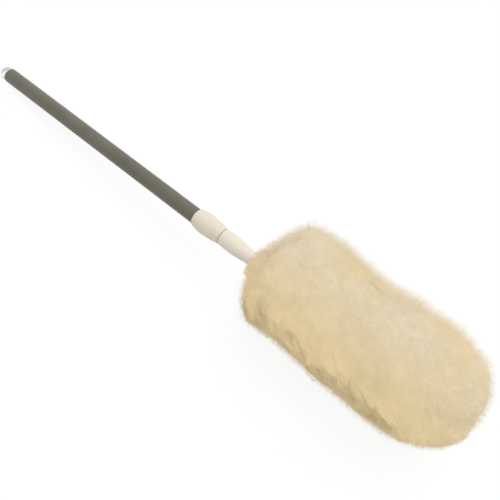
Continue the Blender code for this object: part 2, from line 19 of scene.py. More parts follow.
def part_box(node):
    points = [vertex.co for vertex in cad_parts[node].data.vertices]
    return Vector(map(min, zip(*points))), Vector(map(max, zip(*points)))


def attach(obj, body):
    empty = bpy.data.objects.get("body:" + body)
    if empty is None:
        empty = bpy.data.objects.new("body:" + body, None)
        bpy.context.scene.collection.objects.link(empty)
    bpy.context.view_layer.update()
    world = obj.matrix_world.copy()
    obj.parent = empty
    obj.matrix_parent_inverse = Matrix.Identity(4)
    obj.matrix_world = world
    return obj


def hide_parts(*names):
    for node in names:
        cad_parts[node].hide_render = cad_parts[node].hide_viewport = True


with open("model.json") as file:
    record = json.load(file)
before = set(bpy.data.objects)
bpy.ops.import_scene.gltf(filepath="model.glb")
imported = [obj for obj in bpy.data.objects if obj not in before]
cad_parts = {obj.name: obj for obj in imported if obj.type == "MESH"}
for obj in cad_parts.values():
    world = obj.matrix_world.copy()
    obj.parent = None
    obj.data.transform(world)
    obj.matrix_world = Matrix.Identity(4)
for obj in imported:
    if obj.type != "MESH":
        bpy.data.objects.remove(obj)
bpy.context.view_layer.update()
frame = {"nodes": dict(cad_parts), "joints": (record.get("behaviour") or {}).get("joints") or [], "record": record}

bl_info = {
    "name": "Extendable duster",
    "version": (1, 0, 0),
    "blender": (4, 5, 0),
    "location": "View3D > Sidebar > Duster",
    "description": "Dresses an extendable duster's solids with their finishes and grows its wool",
    "category": "Object",
}

# The handle's axis, from the butt end to the head, is the twist joint's
TWIST = next(joint for joint in frame["joints"] if joint["name"] == "lock_twist")
AXIS = np.array(TWIST["axis"], float)
AXIS_POINT = np.array(TWIST["pos_m"], float)
AXIS_RISE = math.atan2(AXIS[2], AXIS[0])
# The record's colour of each material slot, with full opacity
SLOT_COLOURS = {row["slot"]: (*row["base_color"], 1.0) for row in frame["record"]["materials"]}


def colour_prop(name, description, default):
    return FloatVectorProperty(
        name=name, description=description, default=default, size=4, min=0, max=1, subtype="COLOR"
    )


def number_prop(name, description, default, **more):
    return FloatProperty(name=name, description=description, default=default, **more)


def length_prop(name, description, default):
    return number_prop(name, description, default, min=0.0, precision=5, unit="LENGTH")


def count_prop(name, description, default, least=1):
    return IntProperty(name=name, description=description, default=default, min=least)


def vector_prop(name, description, subtype, default):
    return FloatVectorProperty(
        name=name, description=description, default=default, size=3, subtype=subtype
    )


class DusterFinishes(bpy.types.PropertyGroup):
    """Colours of the handle, the lock and the head's core."""

    tube: colour_prop("Grip tube", "Powder coat of the outer tube", (0.117, 0.109, 0.076, 1.0))
    strap: colour_prop(
        "Strap", "Soft plastic of the hanging strap", SLOT_COLOURS["clear_white_plastic"]
    )
    collar: colour_prop("Collar", "Moulded plastic of the collar", (0.745, 0.69, 0.555, 1.0))
    nose: colour_prop("Nose", "Moulded plastic of the nose cone", (0.79, 0.72, 0.62, 1.0))
    acetal: colour_prop(
        "Bush and plug", "Natural acetal of the sliding parts", SLOT_COLOURS["white_acetal"]
    )
    nylon: colour_prop("Expander", "Black nylon of the lock", SLOT_COLOURS["black_nylon"])
    steel: colour_prop("Steel", "Stud, nut, pin and screws", SLOT_COLOURS["bright_steel"])
    aluminium: colour_prop(
        "Inner tube", "Drawn aluminium of the sliding tube", SLOT_COLOURS["drawn_aluminium"]
    )
    beech: colour_prop("Rod", "Beech of the head's rod", SLOT_COLOURS["beech"])
    hide: colour_prop("Hide", "Skin side of the wound strip", SLOT_COLOURS["sheepskin"])
    rim_radius: length_prop("Rim radius", "Radius of the thin rims on collar and nose", 0.0007)


class DusterWool(bpy.types.PropertyGroup):
    """Sizes, counts and colours of the wool."""

    tip_colour: colour_prop("Tips", "Wool at the tips", (0.80, 0.715, 0.58, 1.0))
    # The root colour is partly the wool's own tone and partly painted shade deep in the pile
    root_colour: colour_prop("Roots", "Wool near the hide", (0.785, 0.63, 0.375, 1.0))
    warm_colour: colour_prop("Warm patches", "Warmer patches of wool", (0.79, 0.655, 0.42, 1.0))
    # Painted shade: the side away from the sun is drawn in this darker, warmer colour
    combed_colour: colour_prop("Combed side", "Wool on the combed side", (0.85, 0.675, 0.375, 1.0))
    depth: length_prop("Pile depth", "How far the pile stands out of the inner wool", 0.0048)
    body_face: length_prop("Body faces", "Length of a face of the inner wool", 0.003)
    lump_rise: length_prop("Lumps", "How far the inner wool's lumps rise", 0.0022)
    lump_span: length_prop("Lump length", "Distance from lump to lump", 0.045)
    strand_width: length_prop("Strand width", "Width of a strand near its root", 0.0008)
    reach: length_prop("Strand reach", "How far a strand leans over the wool", 0.016)
    furrow_depth: length_prop("Furrows", "Depth of the grooves on the combed side", 0.0014)
    furrow_span: length_prop("Furrow width", "Distance from furrow to furrow", 0.021)
    lock_length: length_prop("Lock length", "Length of a combed lock", 0.032)
    lock_width: length_prop("Lock width", "Width of a combed lock near its root", 0.0045)
    strands: count_prop("Strands", "Strands in each band of the pile", 11000, 100)
    bands: count_prop("Bands", "Bands that the pile is made in", 8)
    fuzz_bands: count_prop("Fuzz bands", "Bands that the fuzz is made in", 5)
    fuzz: count_prop("Fuzz", "Fine fibres in each band of the fuzz", 18000, 100)
    tufts: count_prop("Tufts", "Tufts that the strands gather in", 1500, 10)
    locks: count_prop("Locks", "Combed locks on the side towards the surface", 110)
    wisps: count_prop("Wisps", "Loose curls on the combed side", 60)
    ruff: count_prop("Ruff", "Strands that close round the neck", 2400)
    ruff_length: length_prop("Ruff length", "How far the ruff reaches over the neck", 0.01)
    gather: number_prop(
        "Gather", "How far a tuft's strands draw together", 0.5, min=0, max=1, subtype="FACTOR"
    )
    seed: count_prop("Seed", "Start of the random draws", 7, 0)


class DusterStage(bpy.types.PropertyGroup):
    """Floor, light and camera."""

    floor_colour: colour_prop("Floor", "Colour of the floor", (0.8, 0.8, 0.79, 1.0))
    floor_size: length_prop("Floor size", "Length of the floor's sides", 8.0)
    sun_power: number_prop("Sun", "Strength of the sun lamp", 1.3, min=0.0)
    sun_spread: number_prop(
        "Sun spread",
        "Angle that the sun lamp fills, which softens its shadows",
        math.radians(50),
        subtype="ANGLE",
    )
    sun_way: vector_prop(
        "Sun direction", "Direction from the duster to the lamp", "DIRECTION", (0.05, 0.52, 0.85)
    )
    sky_power: number_prop("Sky", "Strength of the light from all round", 0.72, min=0.0)
    lens: number_prop("Lens", "Focal length in millimetres", 51.22, min=1.0)
    eye: vector_prop("Eye", "Place of the camera", "TRANSLATION", (0.3624, -0.3103, 0.9113))
    gaze: vector_prop(
        "Gaze", "Direction that the camera looks in", "DIRECTION", (-0.29315, 0.32594, -0.89879)
    )


# Node groups and finishes

WHITE = (1.0, 1.0, 1.0, 1.0)
# The colour sockets of a Mix node
MIX_FIRST, MIX_SECOND, MIX_RESULT = 6, 7, 2
# How far a moulded or a drawn surface's roughness swings to either side
MOULDED_SWING, DRAWN_SWING = 0.06, 0.1
# How far a strand's own shade changes its colour
SHADE_DEPTH = 0.16
# The share of the beech's colour that is left in its grain and in its flecks
GRAIN_SHARE, FLECK_SHARE = 0.62, 0.4


def feed(tree, socket, value):
    """Links a socket to another one, or sets its plain value."""
    if isinstance(value, bpy.types.NodeSocket):
        tree.links.new(value, socket)
    else:
        socket.default_value = value


def wire(tree, node, **inputs):
    """Feeds a node's inputs by name, with a space for each underscore."""
    for name, value in inputs.items():
        feed(tree, node.inputs[name.replace("_", " ")], value)
    return node


def add_node(tree, kind, **inputs):
    return wire(tree, tree.nodes.new(kind), **inputs)


def add_math(tree, operation, first, second):
    """Works on two values, and returns the result's socket."""
    node = tree.nodes.new("ShaderNodeMath")
    node.operation = operation
    feed(tree, node.inputs[0], first)
    feed(tree, node.inputs[1], second)
    return node.outputs["Value"]


def add_mix(tree, share, first, second, blend="MIX"):
    """Mixes two colours, and returns the mixed colour's socket."""
    node = tree.nodes.new("ShaderNodeMix")
    node.data_type = "RGBA"
    node.blend_type = blend
    feed(tree, node.inputs["Factor"], share)
    feed(tree, node.inputs[MIX_FIRST], first)
    feed(tree, node.inputs[MIX_SECOND], second)
    return node.outputs[MIX_RESULT]


def add_noise(tree, place, scale, detail, roughness=0.5):
    """A cloudy value that changes over the surface."""
    node = add_node(
        tree, "ShaderNodeTexNoise", Vector=place, Scale=scale, Detail=detail, Roughness=roughness
    )
    return node.outputs["Fac"]


def add_range(tree, value, **ends):
    """A value moved from one range to another, each 0 to 1 unless it is given."""
    return add_node(tree, "ShaderNodeMapRange", Value=value, **ends).outputs["Result"]


def add_tone(tree, colour, *swings):
    """Lightens and darkens a colour with values round 0.5, each to its own depth."""
    tone = 1.0
    for value, depth in swings:
        swing = add_math(tree, "SUBTRACT", value, 0.5)
        tone = add_math(tree, "ADD", add_math(tree, "MULTIPLY", swing, depth), tone)
    light = add_node(tree, "ShaderNodeCombineColor", Red=tone, Green=tone, Blue=tone)
    return add_mix(tree, 1.0, colour, light.outputs["Color"], "MULTIPLY")


def surface_place(tree):
    """The Object coordinates, which every pattern reads."""
    return tree.nodes.new("ShaderNodeTexCoord").outputs["Object"]


def handle_place(tree, stretch):
    """Object coordinates turned so that X runs along the handle, and scaled by stretch."""
    turn = add_node(
        tree,
        "ShaderNodeMapping",
        Vector=surface_place(tree),
        Location=AXIS_POINT,
        Rotation=(0.0, -AXIS_RISE, 0.0),
    )
    turn.vector_type = "TEXTURE"
    scale = add_node(tree, "ShaderNodeVectorMath", Vector=turn.outputs["Vector"])
    scale.operation = "MULTIPLY"
    scale.inputs[1].default_value = stretch
    return scale.outputs["Vector"]


def new_group(name, outputs, **inputs):
    """An empty shared group. Four numbers make a colour input, and one number a value."""
    tree = bpy.data.node_groups.new(name, "ShaderNodeTree")
    kinds = {True: "NodeSocketColor", False: "NodeSocketFloat"}
    for label, default in inputs.items():
        label, kind = label.replace("_", " "), kinds[isinstance(default, tuple)]
        socket = tree.interface.new_socket(name=label, in_out="INPUT", socket_type=kind)
        socket.default_value = default
    for label in outputs:
        tree.interface.new_socket(name=label, in_out="OUTPUT", socket_type=kinds[label == "Colour"])
    return tree, tree.nodes.new("NodeGroupInput").outputs, tree.nodes.new("NodeGroupOutput")


def uneven_tone():
    """Lets a colour drift lighter and darker over the surface, with fine specks."""
    tree, given, out = new_group(
        "uneven_tone",
        ("Colour", "Patches"),
        Colour=(0.5, 0.5, 0.5, 1.0),
        Patch_scale=20.0,
        Patch_depth=0.1,
        Speck_scale=900.0,
        Speck_depth=0.04,
    )
    place = surface_place(tree)
    patches = add_noise(tree, place, given["Patch scale"], 3.0)
    specks = add_noise(tree, place, given["Speck scale"], 1.0)
    colour = add_tone(
        tree, given["Colour"], (patches, given["Patch depth"]), (specks, given["Speck depth"])
    )
    wire(tree, out, Colour=colour, Patches=patches)
    return tree


def drawn_lines():
    """Fine lines along the handle, as drawing leaves on a tube and grain runs in a turned rod."""
    tree, given, out = new_group("drawn_lines", ("Lines",), Fineness=1.0)
    place = handle_place(tree, (6.0, 420.0, 420.0))
    wire(tree, out, Lines=add_noise(tree, place, given["Fineness"], 3.0, 0.6))
    return tree


def moulded_relief():
    """Height of a fine, low relief, such as orange peel on a coat or a mould's etched skin."""
    tree, given, out = new_group("moulded_relief", ("Height",), Scale=1200.0)
    wire(tree, out, Height=add_noise(tree, surface_place(tree), given["Scale"], 2.0))
    return tree


def wool_tone():
    """Colour of wool from root to tip, with lighter and darker strands and broad warm patches; painted shade
    darkens it on the side away from the sun, and partly towards the roots.
    """
    tree, given, out = new_group(
        "wool_tone",
        ("Colour",),
        Along=0.0,
        Shade=0.5,
        Root=(0.6, 0.5, 0.3, 1.0),
        Tip=(0.9, 0.8, 0.6, 1.0),
        Warm=(0.9, 0.75, 0.55, 1.0),
        Combed=(0.8, 0.65, 0.4, 1.0),
    )
    place = surface_place(tree)
    way = add_node(tree, "ShaderNodeSeparateXYZ", Vector=place).outputs
    patches = add_noise(tree, place, 9.0, 2.0)
    # The warm patches grow rarer towards the head's front
    pale = add_range(tree, way["X"], From_Min=0.28, From_Max=0.4, To_Max=0.14)
    patches = add_math(tree, "SUBTRACT", patches, pale)
    warm = add_range(tree, patches, From_Min=0.38, From_Max=0.6)
    tip = add_mix(tree, warm, given["Tip"], given["Warm"])
    # Painted shade: the darker, warmer colour of the side away from the sun comes in across the head
    side = add_range(tree, way["Y"], From_Min=0.015, From_Max=-0.06)
    tip = add_mix(tree, side, tip, given["Combed"])
    # Towards the roots the colour turns to the root colour: partly the wool's own tone, partly painted shade
    colour = add_mix(tree, given["Along"], given["Root"], tip)
    wire(tree, out, Colour=add_tone(tree, colour, (given["Shade"], SHADE_DEPTH)))
    return tree


def add_group(tree, build, **inputs):
    """Places the shared group of a builder, built just once, and returns its outputs."""
    node = tree.nodes.new("ShaderNodeGroup")
    node.node_tree = bpy.data.node_groups.get(build.__name__) or build()
    return wire(tree, node, **inputs).outputs


def new_finish(name, **plain):
    """A material with a Principled shader whose plain values are set, and nothing linked yet."""
    finish = bpy.data.materials.new(name)
    finish.use_nodes = True
    tree = finish.node_tree
    tree.nodes.clear()
    shader = add_node(tree, "ShaderNodeBsdfPrincipled", **plain)
    add_node(tree, "ShaderNodeOutputMaterial", Surface=shader.outputs["BSDF"])
    return finish, tree, shader


def add_surface(tree, shader, colour, mask, low, high, height, depth):
    """Links the colour, a roughness that swings with a mask, and a relief of a depth in metres."""
    rough = add_range(tree, mask, To_Min=low, To_Max=high)
    bump = add_node(tree, "ShaderNodeBump", Strength=1.0, Distance=depth, Height=height)
    wire(tree, shader, Base_Color=colour, Roughness=rough, Normal=bump.outputs["Normal"])


def moulded_finish(
    name, colour, *, roughness, patch_depth, relief_scale, relief_depth=0.00003, **plain
):
    """A coat or moulded plastic: uneven tone, a little change of gloss and a fine relief."""
    finish, tree, shader = new_finish(name, **plain)
    tone = add_group(tree, uneven_tone, Colour=colour, Patch_scale=28.0, Patch_depth=patch_depth)
    height = add_group(tree, moulded_relief, Scale=relief_scale)["Height"]
    low, high = roughness - MOULDED_SWING, roughness + MOULDED_SWING
    add_surface(tree, shader, tone["Colour"], tone["Patches"], low, high, height, relief_depth)
    return finish


def drawn_finish(name, colour, *, roughness, fineness, line_depth):
    """Drawn metal: a slightly cloudy tone, with lines along the handle in gloss and relief."""
    finish, tree, shader = new_finish(name, Metallic=1.0)
    lines = add_group(tree, drawn_lines, Fineness=fineness)["Lines"]
    tone = add_group(tree, uneven_tone, Colour=colour, Patch_scale=40.0, Patch_depth=0.12)
    low, high = roughness - DRAWN_SWING, roughness + DRAWN_SWING
    add_surface(tree, shader, tone["Colour"], lines, low, high, lines, line_depth)
    return finish


def beech_finish(colour):
    """Sanded beech: grain along the rod, and short dark flecks."""
    finish, tree, shader = new_finish("sanded_beech", Metallic=0.0)
    grain = add_group(tree, drawn_lines, Fineness=0.5)["Lines"]
    flecks = add_noise(tree, handle_place(tree, (180.0, 1100.0, 1100.0)), 1.0, 1.0)
    flecks = add_range(tree, flecks, From_Min=0.58, From_Max=0.66)
    flecks = add_math(tree, "MULTIPLY", flecks, 0.6)
    tone = colour
    for mask, share in ((grain, GRAIN_SHARE), (flecks, FLECK_SHARE)):
        dark = [channel * share for channel in colour[:3]] + [1.0]
        tone = add_mix(tree, mask, tone, dark)
    add_surface(tree, shader, tone, grain, 0.5, 0.68, grain, 0.0001)
    return finish


def hide_finish(colour):
    """The skin side of sheepskin: cloudy, with a pebbled grain."""
    finish, tree, shader = new_finish("sheep_hide", Metallic=0.0)
    tone = add_group(
        tree, uneven_tone, Colour=colour, Patch_scale=60.0, Patch_depth=0.4, Speck_depth=0.15
    )
    pebbles = add_node(tree, "ShaderNodeTexVoronoi", Vector=surface_place(tree), Scale=900.0)
    height = pebbles.outputs["Distance"]
    add_surface(tree, shader, tone["Colour"], tone["Patches"], 0.7, 0.9, height, 0.00015)
    return finish


def strand_value(tree, name):
    """A value that the wool's meshes carry at their points."""
    node = tree.nodes.new("ShaderNodeAttribute")
    node.attribute_name = name
    return node.outputs["Fac"]


def wool_finish(name, wool, relief_scale, relief_depth):
    """Wool that reads how far along its strand a point is, and how light the strand is."""
    finish, tree, shader = new_finish(
        name,
        Metallic=0.0,
        Sheen_Weight=0.25,
        Sheen_Roughness=0.5,
        Sheen_Tint=wool.tip_colour,
        Specular_IOR_Level=0.15,
    )
    shade = strand_value(tree, "strand_shade")
    tone = add_group(
        tree,
        wool_tone,
        Along=strand_value(tree, "strand_along"),
        Shade=shade,
        Root=wool.root_colour,
        Tip=wool.tip_colour,
        Warm=wool.warm_colour,
        Combed=wool.combed_colour,
    )
    height = add_group(tree, moulded_relief, Scale=relief_scale)["Height"]
    add_surface(tree, shader, tone["Colour"], shade, 0.8, 0.95, height, relief_depth)
    return finish


def dress(names, finish):
    """Gives the named solids their finish, in every material slot."""
    for name in names:
        piece = frame["nodes"][name]
        if not piece.material_slots:
            piece.data.materials.append(finish)
        for slot in piece.material_slots:
            slot.material = finish


# Meshes and pieces


def new_object(name, data):
    """An object of the given data, placed in the scene."""
    made = bpy.data.objects.new(name, data)
    bpy.context.scene.collection.objects.link(made)
    return made


def cage_mesh(name, cage):
    """A mesh of a finished bmesh, which is freed."""
    mesh = bpy.data.meshes.new(name)
    cage.to_mesh(mesh)
    cage.free()
    return mesh


def read_rows(rows, name, kind=float, width=3):
    """One property of every row of a mesh's data, as an array."""
    values = np.empty(len(rows) * width, kind)
    rows.foreach_get(name, values)
    return values.reshape(-1, width)


def read_mesh(mesh):
    """The mesh's points, their normals and its triangles, as arrays."""
    mesh.calc_loop_triangles()
    return (
        read_rows(mesh.vertices, "co"),
        read_rows(mesh.vertices, "normal"),
        read_rows(mesh.loop_triangles, "vertices", np.int32),
    )


def give_values(mesh, **values):
    """Stores a value at each point of the mesh, under each name."""
    for name, numbers in values.items():
        layer = mesh.attributes.new(name, "FLOAT", "POINT")
        layer.data.foreach_set("value", numbers.astype(np.float32).ravel())


def modified(mesh, name, kind, **settings):
    """The mesh that a modifier makes of another mesh."""
    carrier = new_object(name, mesh)
    modifier = carrier.modifiers.new(name, kind)
    for setting, value in settings.items():
        setattr(modifier, setting, value)
    held = carrier.evaluated_get(bpy.context.evaluated_depsgraph_get())
    made = bpy.data.meshes.new_from_object(held)
    made.name = name
    bpy.data.objects.remove(carrier)
    return made


def soften(mesh, times):
    """Smooths a mesh's points towards their neighbours."""
    cage = bmesh.new()
    cage.from_mesh(mesh)
    for _ in range(times):
        bmesh.ops.smooth_vert(
            cage, verts=cage.verts, factor=0.5, use_axis_x=True, use_axis_y=True, use_axis_z=True
        )
    cage.to_mesh(mesh)
    cage.free()
    mesh.update()


# Wool: lengths are in metres, and directions are unit vectors or nearly so

# The bore round the rod, which stays bare, and where it ends along the axis
BORE_REACH = 0.019
BORE_FRONT = (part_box("end_screw")[1][0] - AXIS_POINT[0]) / AXIS[0] + BORE_REACH
# How far from the axis the ruff's strands grow
RUFF_REACH = 0.022
# The height over the surface under which no strand goes
FLOOR_LIFT = 0.0005
# How far a strand may stand out of the fleece's box
STRAND_ROOM = 0.0125
# The stops along a pile strand and along a lock's strand, from root to tip
PILE_STOPS = np.array([0.0, 0.5, 1.0])
LOCK_STOPS = np.array([0.0, 0.25, 0.5, 0.75, 1.0])
# How steeply a strand rises and leans at its root, against its mean
RISE_SHARE = 2.0
LEAN_SHARE = 0.5
# A strand's thickness against its width, and how far its normals are its own
FLATNESS = 0.45
ROUND_SHARE = 0.55
# Turns the strands' normals towards the sky, as light comes through wool
SKY_BIAS = np.array([0.0, -0.1, 0.5])

# How deep the inner wool lies under the fleece's skin, in pile depths, and what the combed
# side, the rear and the tip add to it
BODY_SINK = 2.5
COMBED_SINK = -1.1
REAR_SINK = -1.3
TIP_SINK = 0.1
SINK_STEPS = 4
# How often the inner wool is smoothed before it sinks, and after each step
FIRST_SMOOTHING = 6
STEP_SMOOTHING = 2
# The middle of a lobe's height, from which lumps rise and fall
LUMP_MIDDLE = 0.75
# Where the inner wool's surface counts as, between root and tip, so that it takes part of the root colour's
# painted shade, and how light it is drawn
BODY_ALONG = 0.45
BODY_SHADE = 0.4
# Painted shade in the grooves: how much darker their wool is drawn at a groove's bottom
PAINTED_GROOVE_SHADE = 0.3
# How much the tufts lie down at the rear
REAR_LAY = 0.5
# Local swells and hollows: place along the axis, degrees round it, and rise
SWELL_SPAN = 0.022
SWELLS = (
    (0.43, 20, 0.007),
    (0.415, 200, 0.01),
    (0.52, 200, -0.002),
    (0.59, 20, -0.0015),
    (0.705, 20, 0.004),
    (0.74, 20, -0.003),
    (0.77, 20, 0.0045),
    (0.75, 200, -0.0015),
)

# How high a lock arches over the inner wool, how far it bends aside, how far it strays from
# the lay, and how light it is drawn; the loose wisps stand higher and are drawn lighter
LOCK_FORM = (0.0046, 0.004, 0.12, 0.45)
WISP_FORM = (0.0105, 0.006, 0.5, 1.6)
# No lock grows lower, or where the wool faces more to the front
LOCK_LOWEST, LOCK_FOREMOST = 0.012, 0.3

# Which way the loose and the combed wool lie, and which side is combed
LOOSE_LAY = AXIS * 0.6 + np.array([0.0, 0.0, -0.2])
COMBED_LAY = np.array([0.88, -0.17, -0.46])
COMBED_SIDE = np.array([0.0, -0.936, -0.349])
# The size and the strength of the swirls in each
LOOSE_SWIRL = (0.09, 1.6)
COMBED_SWIRL = (0.05, 0.35)
# How far single strands stray from the lay, and how much less on the combed side
STRAY = 0.3
COMBED_CALM = 0.15


def axis_places(points):
    """How far each point is along the handle, its unit direction from the axis and its distance."""
    offset = points - AXIS_POINT
    along = offset @ AXIS
    away = offset - along[:, None] * AXIS
    distance = np.linalg.norm(away, axis=1)
    return along, away / np.maximum(distance, 1e-9)[:, None], distance


def unit(vectors):
    return vectors / np.maximum(np.linalg.norm(vectors, axis=-1, keepdims=True), 1e-12)


def nearest(points, spots):
    """For each spot, the number of the point nearest to it."""
    tree = KDTree(len(points))
    for number, point in enumerate(points):
        tree.insert(point, number)
    tree.balance()
    return np.array([tree.find(spot)[1] for spot in spots])


def drift(points, span, draws, waves=5):
    """Smooth random vectors that change over about a span, one for each point."""
    total = np.zeros_like(points)
    for _ in range(waves):
        ways = draws.normal(size=(3, 3))
        ways /= np.linalg.norm(ways, axis=1)[:, None]
        starts = draws.uniform(0, math.tau, 3)
        total += np.sin(points @ ways.T * (math.tau / span) + starts)
    return total / waves


def outside_share(points):
    """How far each point lies outside the bore round the rod, from 0 in it to 1."""
    along, _, distance = axis_places(points)
    beside = np.clip((distance - BORE_REACH) / (0.5 * BORE_REACH), 0, 1)
    return np.where(along > BORE_FRONT, 1.0, beside)


def combed_share(points):
    """How much each point belongs to the side that was combed flat, from 0 to 1."""
    _, away, _ = axis_places(points)
    return np.clip((away @ COMBED_SIDE - 0.35) / 0.35, 0, 1)


def tip_share(normals):
    """How far a strand may lean: less round the head's end, where it would stand off."""
    return 1 - 0.75 * np.clip(normals @ AXIS, 0, 1)


def scatter(mesh, count, draws):
    """Random points, even over a mesh but not in its bore, with their smooth normals."""
    points, normals, triangles = read_mesh(mesh)
    corners = points[triangles]
    sides = corners[:, 1:] - corners[:, :1]
    areas = np.linalg.norm(np.cross(sides[:, 0], sides[:, 1]), axis=1)
    middles = corners.mean(axis=1)
    _, away, _ = axis_places(middles)
    inward = (normals[triangles[:, 0]] * away).sum(axis=1) < -0.2
    areas[inward & (outside_share(middles) == 0.0)] = 0.0
    chosen = draws.choice(len(triangles), count, p=areas / areas.sum())
    first, second = np.sqrt(draws.uniform(size=count)), draws.uniform(size=count)
    weights = np.stack([1 - first, first * (1 - second), first * second], 1)[:, :, None]
    spots = (points[triangles[chosen]] * weights).sum(axis=1)
    return spots, unit((normals[triangles[chosen]] * weights).sum(axis=1))


def swell(points):
    """How far the inner wool rises or falls back at each point, beyond the lobes."""
    along, away, distance = axis_places(points)
    total = np.zeros(len(points))
    for middle, degrees, rise in SWELLS:
        turn = math.radians(degrees)
        way = np.array([0.0, math.cos(turn), math.sin(turn)])
        beside = np.linalg.norm(away - way, axis=1) * np.maximum(distance, SWELL_SPAN)
        total += rise * np.exp(-((along - middle) ** 2 + beside**2) / SWELL_SPAN**2)
    return total


def lobes(points, span, draws):
    """How high each point lies on soft lobes about a span apart, from 0 in their creases to 1."""
    seeds = [points[0]]
    for spot in draws.permutation(points)[:4000]:
        if np.linalg.norm(np.array(seeds) - spot, axis=1).min() > 0.75 * span:
            seeds.append(spot)
    seeds = np.array(seeds)
    bent = points + drift(points, span, draws) * span * 0.2
    squares = (bent**2).sum(1)[:, None] + (seeds**2).sum(1)[None] - 2 * bent @ seeds.T
    near = np.sqrt(np.maximum(np.partition(squares, 1, axis=1)[:, :2], 0))
    return np.clip((near[:, 1] - near[:, 0]) / (0.6 * span), 0, 1) ** 0.6


def furrows(points, span, draws):
    """How deep each point lies in the grooves between combed locks, from 0 to 1."""
    lay = unit(COMBED_LAY)
    squeezed = points - (points @ lay)[:, None] * lay * 0.78
    sway = drift(squeezed, span, draws)[:, 0]
    return np.clip(1 - np.abs(sway) / 0.22, 0, 1) * combed_share(points)


def groove_at(body, roots):
    """The depth of the inner wool's grooves at each root, from 0 to 1."""
    along = read_rows(body.attributes["strand_along"].data, "value", width=1).ravel()
    points, _, _ = read_mesh(body)
    return (BODY_ALONG - along[nearest(points, roots)]) / BODY_ALONG


def comb(points, normals, draws):
    """The way the wool lies at each point: loose swirls, but straight on the combed side."""
    combed = combed_share(points)[:, None]
    loose = LOOSE_LAY + drift(points, LOOSE_SWIRL[0], draws) * LOOSE_SWIRL[1]
    straight = COMBED_LAY + drift(points, COMBED_SWIRL[0], draws) * COMBED_SWIRL[1]
    way = loose * (1 - combed) + straight * combed
    way = way + draws.normal(size=points.shape) * (STRAY - COMBED_CALM * combed)
    way -= (way * normals).sum(axis=1)[:, None] * normals
    return way / np.maximum(np.linalg.norm(way, axis=1), 0.35)[:, None]


def strand_lines(roots, normals, ways, heights, reaches):
    """Points along each strand, which rises at first and then leans over."""
    stops = PILE_STOPS[None, :, None]
    rise = stops * (RISE_SHARE - (RISE_SHARE - 1) * stops)
    lean = stops * (LEAN_SHARE + (1 - LEAN_SHARE) * stops)
    up = normals[:, None] * heights[:, None, None] * rise
    return roots[:, None] + up + ways[:, None] * reaches[:, None, None] * lean


def lay_on(body, spots, lift):
    """The given points moved to a height of lift over the body, with the body's normals there."""
    found = [body.find_nearest(Vector(spot)) for spot in spots]
    places = np.array([place for place, _, _, _ in found])
    facing = np.array([normal for _, normal, _, _ in found])
    return places + facing * lift[:, None], facing


def lock_lines(body, roots, ways, lengths, rises, bends):
    """The middle line of each lock: it arches over the body and bends sideways to its tip."""
    stops = LOCK_STOPS[None, :, None]
    spots = roots[:, None] + ways[:, None] * lengths[:, None, None] * stops
    arches = rises[:, None, None] * np.sin(math.pi * (0.12 + 0.78 * stops))
    middle, facing = lay_on(body, spots.reshape(-1, 3), arches.ravel())
    middle, facing = middle.reshape(spots.shape), facing.reshape(spots.shape)
    aside = unit(np.cross(facing, ways[:, None]))
    return middle + aside * bends[:, None, None] * stops**2, facing, aside


def within_room(lines):
    """The lines, those shortened that would stand too far out of the fleece's box."""
    low, high = (np.array(corner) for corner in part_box("fleece"))
    reach = lines - lines[:, :1]
    room = np.where(reach > 0, high + STRAND_ROOM, low - STRAND_ROOM) - lines[:, :1]
    share = room / np.where(np.abs(reach) > 1e-9, reach, np.inf)
    share = np.where(share > 0, share, 1.0).min(axis=(1, 2))
    return lines[:, :1] + reach * np.clip(share, 0, 1)[:, None, None]


def strand_blank(stops):
    """A straight strand of three corners, with a ring at each stop but the last, its tip."""
    cage = bmesh.new()
    bmesh.ops.create_circle(cage, cap_ends=True, segments=3, radius=1.0)
    edges = cage.edges[:]
    for last, stop in zip(stops, stops[1:]):
        grown = bmesh.ops.extrude_edge_only(cage, edges=edges)["geom"]
        edges = [part for part in grown if isinstance(part, bmesh.types.BMEdge)]
        ring = [part for part in grown if isinstance(part, bmesh.types.BMVert)]
        bmesh.ops.translate(cage, verts=ring, vec=(0.0, 0.0, stop - last))
    bmesh.ops.pointmerge(cage, verts=ring, merge_co=(0.0, 0.0, stop))
    bmesh.ops.recalc_face_normals(cage, faces=cage.faces)
    return cage_mesh("strand_blank", cage)


def strand_piece(name, stops, lines, normals, widths, shades, airy=True):
    """One piece of all these strands, each bent along its line and narrower towards its tip.

    Airy strands are left out of shadows and bounced light, as real wool lets light through.
    """
    lines = within_room(lines)
    count = len(lines)
    blank = strand_blank(stops)
    mesh = modified(blank, name, "ARRAY", use_relative_offset=False, count=count)
    shape = read_rows(blank.vertices, "co")
    bpy.data.meshes.remove(blank)
    stop_of = np.abs(shape[:, 2][:, None] - stops[None]).argmin(axis=1)
    run = np.gradient(lines, axis=1)
    across = unit(np.cross(normals[:, None], run))
    sideways = across[:, stop_of] * shape[None, :, 0, None]
    upwards = unit(np.cross(run, across))[:, stop_of] * shape[None, :, 1, None]
    taper = np.sin(np.clip(1.06 - stops, 0.12, 1) * math.pi / 2)
    size = (widths[:, None, None] * taper[None, :, None] / 2)[:, stop_of]
    places = lines[:, stop_of] + size * (sideways + upwards * FLATNESS)
    # Strands that are pressed down lie at slightly different heights
    low = FLOOR_LIFT + 0.0006 * shades[:, None]
    places[:, :, 2] = np.maximum(places[:, :, 2], low)
    mesh.vertices.foreach_set("co", places.astype(np.float32).ravel())
    give_values(
        mesh,
        strand_along=np.broadcast_to(stops[stop_of], (count, len(shape))),
        strand_shade=np.broadcast_to(shades[:, None], (count, len(shape))),
    )
    mesh.materials.append(bpy.data.materials["combed_wool"])
    mesh.shade_smooth()
    own = (sideways + upwards) * ROUND_SHARE
    facing = unit(normals[:, None] * (1 - ROUND_SHARE) + own + SKY_BIAS)
    mesh.normals_split_custom_set_from_vertices(facing.reshape(-1, 3).astype(np.float32))
    mesh.update()
    piece = new_object(name, mesh)
    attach(piece, "wool_head")
    if airy:
        piece.visible_shadow = False
        piece.visible_diffuse = False


